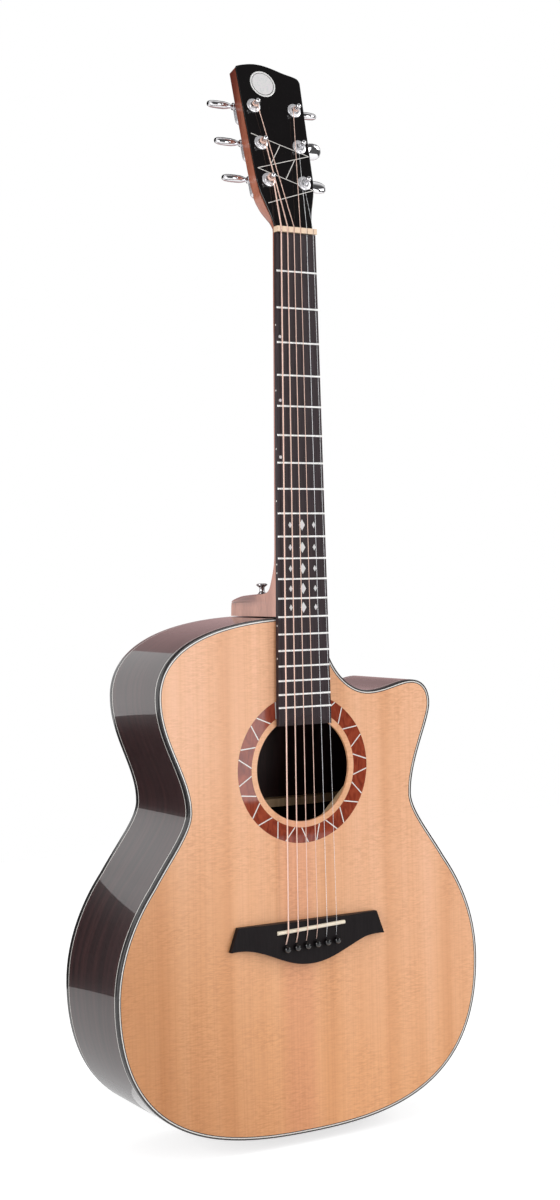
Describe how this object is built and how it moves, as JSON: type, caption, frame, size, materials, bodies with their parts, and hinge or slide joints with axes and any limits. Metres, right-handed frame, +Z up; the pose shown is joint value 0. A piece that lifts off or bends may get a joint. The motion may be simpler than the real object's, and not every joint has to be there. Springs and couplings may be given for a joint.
{
  "type": "acoustic guitar",
  "caption": "Steel-string acoustic guitar with a rounded cutaway, a round soundhole, a pinned bridge and geared tuners that wind the strings on an angled headstock.",
  "frame": {"origin": "where a wall hanger's yoke carries the headstock: on the centre line, in the middle of the headstock's thickness, under its wings", "axes": "+Z up the neck towards the headstock, +X to the treble side (the cutaway), +Y to the back; the face with the strings looks along -Y"},
  "size_m": [0.3914, 0.131, 1.0281],
  "materials": {
    "spruce": "gloss lacquer over quartersawn spruce",
    "rosewood": "gloss lacquer over dark rosewood",
    "binding": "gloss",
    "burl": "gloss lacquer over red-brown burl",
    "cedar": "bare wood",
    "maple": "bare wood",
    "mahogany": "satin lacquer",
    "headstock_black": "gloss black lacquer",
    "ebony": "oiled, satin",
    "bone": "polished bone, cream",
    "pin_black": "gloss",
    "chrome": "polished",
    "rod_steel": "plain",
    "plain_steel": "bright drawn wire",
    "wound_bronze": "copper-coloured bronze winding"
  },
  "bodies": {
    "guitar": {"soundboard": "spruce", "x_brace_1": "spruce", "x_brace_2": "spruce", "transverse_brace": "spruce", "tone_bar": "spruce", "back_brace_1": "spruce", "back_brace_2": "spruce", "sides": "rosewood", "back_plate": "rosewood", "top_binding": "binding", "back_binding": "binding", "rosette": "burl", "neck_block": "cedar", "tail_block": "cedar", "bridge_plate": "maple", "neck": "mahogany", "headstock_overlay": "headstock_black", "fingerboard": "ebony", "bridge": "ebony", "nut": "bone", "saddle": "bone", "bridge_pin_1": "pin_black", "bridge_pin_2": "pin_black", "bridge_pin_3": "pin_black", "bridge_pin_4": "pin_black", "bridge_pin_5": "pin_black", "bridge_pin_6": "pin_black", "end_pin": "chrome", "strap_button": "chrome", "tuner_housing_1": "chrome", "tuner_housing_2": "chrome", "tuner_housing_3": "chrome", "tuner_housing_4": "chrome", "tuner_housing_5": "chrome", "tuner_housing_6": "chrome", "tuner_bushing_1": "chrome", "tuner_bushing_2": "chrome", "tuner_bushing_3": "chrome", "tuner_bushing_4": "chrome", "tuner_bushing_5": "chrome", "tuner_bushing_6": "chrome", "string_1": "plain_steel", "string_2": "plain_steel", "string_3": "wound_bronze", "string_4": "wound_bronze", "string_5": "wound_bronze", "string_6": "wound_bronze"},
    "key_1": {"tuner_key_1": "chrome"},
    "post_1": {"tuner_post_1": "chrome"},
    "key_2": {"tuner_key_2": "chrome"},
    "post_2": {"tuner_post_2": "chrome"},
    "key_3": {"tuner_key_3": "chrome"},
    "post_3": {"tuner_post_3": "chrome"},
    "key_4": {"tuner_key_4": "chrome"},
    "post_4": {"tuner_post_4": "chrome"},
    "key_5": {"tuner_key_5": "chrome"},
    "post_5": {"tuner_post_5": "chrome"},
    "key_6": {"tuner_key_6": "chrome"},
    "post_6": {"tuner_post_6": "chrome"},
    "truss_rod": {"truss_rod": "rod_steel"}
  },
  "joints": [
    {"name": "key_1_turn", "type": "hinge", "parent": "guitar", "child": "key_1", "pos_m": [0.0192, 0.02148, 0.02703], "axis": [1, 0, 0], "continuous": true},
    {"name": "post_1_turn", "type": "hinge", "parent": "guitar", "child": "post_1", "pos_m": [0.0192, -0.00121, 0.02354], "axis": [0, -0.9613, 0.2756], "continuous": true},
    {"name": "key_2_turn", "type": "hinge", "parent": "guitar", "child": "key_2", "pos_m": [0.0209, 0.03209, 0.06403], "axis": [1, 0, 0], "continuous": true},
    {"name": "post_2_turn", "type": "hinge", "parent": "guitar", "child": "post_2", "pos_m": [0.0209, 0.00941, 0.06055], "axis": [0, -0.9613, 0.2756], "continuous": true},
    {"name": "key_3_turn", "type": "hinge", "parent": "guitar", "child": "key_3", "pos_m": [0.0223, 0.04287, 0.10162], "axis": [1, 0, 0], "continuous": true},
    {"name": "post_3_turn", "type": "hinge", "parent": "guitar", "child": "post_3", "pos_m": [0.0223, 0.02018, 0.09814], "axis": [0, -0.9613, 0.2756], "continuous": true},
    {"name": "key_4_turn", "type": "hinge", "parent": "guitar", "child": "key_4", "pos_m": [-0.0223, 0.04287, 0.10162], "axis": [1, 0, 0], "continuous": true},
    {"name": "post_4_turn", "type": "hinge", "parent": "guitar", "child": "post_4", "pos_m": [-0.0223, 0.02018, 0.09814], "axis": [0, -0.9613, 0.2756], "continuous": true},
    {"name": "key_5_turn", "type": "hinge", "parent": "guitar", "child": "key_5", "pos_m": [-0.0209, 0.03209, 0.06403], "axis": [1, 0, 0], "continuous": true},
    {"name": "post_5_turn", "type": "hinge", "parent": "guitar", "child": "post_5", "pos_m": [-0.0209, 0.00941, 0.06055], "axis": [0, -0.9613, 0.2756], "continuous": true},
    {"name": "key_6_turn", "type": "hinge", "parent": "guitar", "child": "key_6", "pos_m": [-0.0192, 0.02148, 0.02703], "axis": [1, 0, 0], "continuous": true},
    {"name": "post_6_turn", "type": "hinge", "parent": "guitar", "child": "post_6", "pos_m": [-0.0192, -0.00121, 0.02354], "axis": [0, -0.9613, 0.2756], "continuous": true},
    {"name": "truss_rod_turn", "type": "hinge", "parent": "guitar", "child": "truss_rod", "pos_m": [0, -0.00452, -0.44808], "axis": [0, 0, -1], "range_deg": [-360, 360]}
  ],
  "couplings": [
    {"joint": "post_1_turn", "follows": "key_1_turn", "ratio": 0.055556},
    {"joint": "post_2_turn", "follows": "key_2_turn", "ratio": 0.055556},
    {"joint": "post_3_turn", "follows": "key_3_turn", "ratio": 0.055556},
    {"joint": "post_4_turn", "follows": "key_4_turn", "ratio": -0.055556},
    {"joint": "post_5_turn", "follows": "key_5_turn", "ratio": -0.055556},
    {"joint": "post_6_turn", "follows": "key_6_turn", "ratio": -0.055556}
  ]
}
